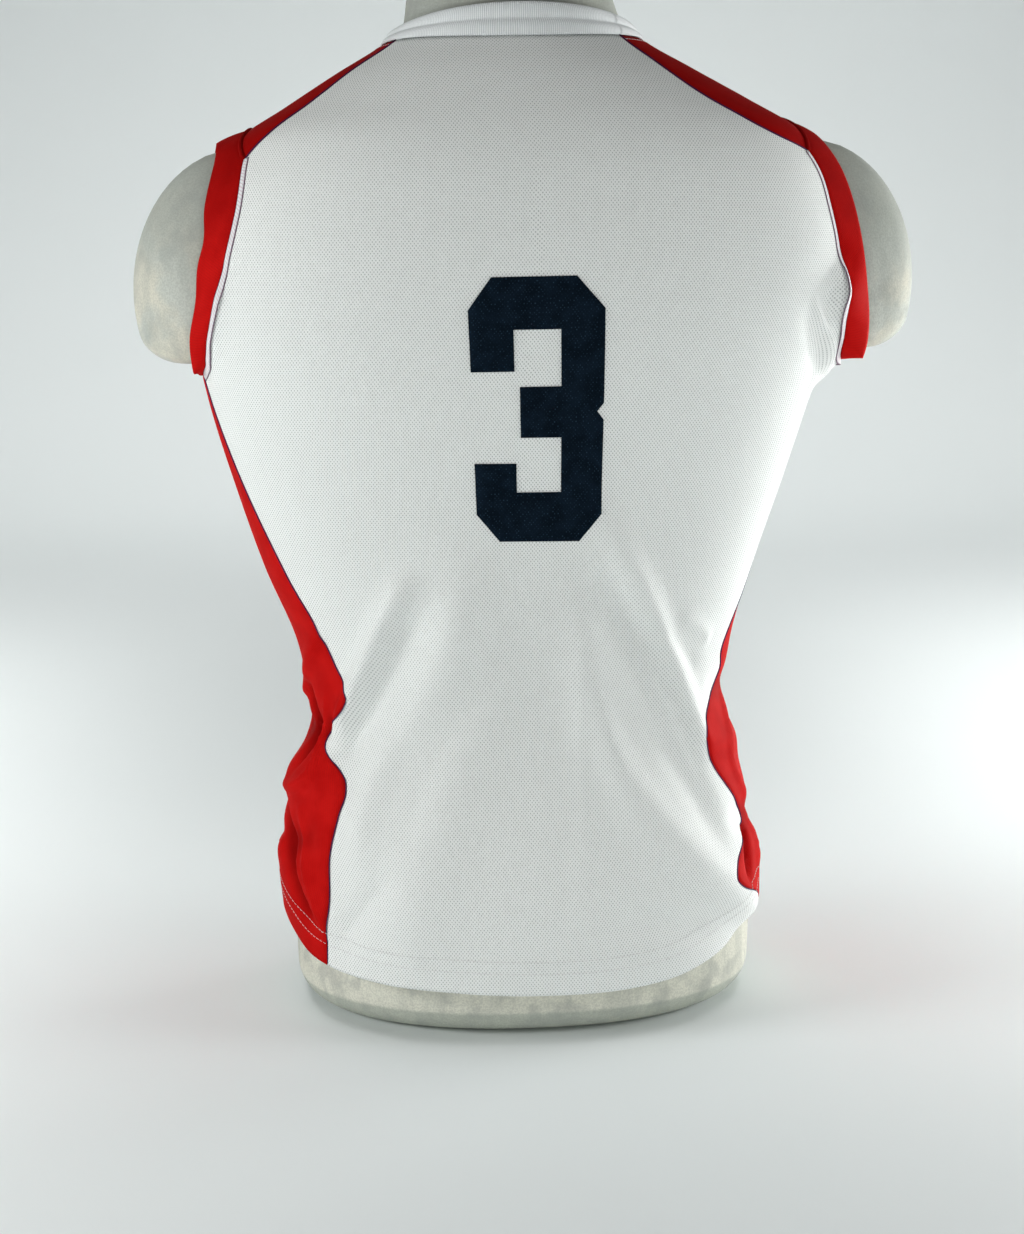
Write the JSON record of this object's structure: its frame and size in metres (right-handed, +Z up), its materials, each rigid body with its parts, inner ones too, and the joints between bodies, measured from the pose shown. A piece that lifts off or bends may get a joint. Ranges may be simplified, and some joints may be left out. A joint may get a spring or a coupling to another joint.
{
  "type": "lacrosse jersey on a limbless dress form",
  "caption": "Sleeveless mesh lacrosse jersey with contrast shoulder strips, armhole bands and side panels, ribbed collar and block numeral, worn by a cloth-covered torso dress form.",
  "frame": {"origin": "middle of the dress form's flat base, on the surface it stands on", "axes": "+Z up; the jersey's back faces +Y and its front -Y; the wearer's left is +X"},
  "size_m": [0.489, 0.2449, 0.6905],
  "materials": {
    "white_mesh": "white polyester eyelet mesh, matt",
    "red_knit": "red polyester mesh knit, slight sheen",
    "white_rib": "white rib knit, matt",
    "navy_print": "navy print on the mesh, slight sheen",
    "form_cover": "grey stretch cover, matt"
  },
  "bodies": {
    "root": {"back_panel": "white_mesh", "front_panel": "white_mesh", "side_panel_left": "red_knit", "side_panel_right": "red_knit", "shoulder_strip_left": "red_knit", "shoulder_strip_right": "red_knit", "armhole_band_left": "red_knit", "armhole_band_right": "red_knit", "collar_band": "white_rib", "number_three": "navy_print", "dress_form": "form_cover"}
  },
  "joints": []
}
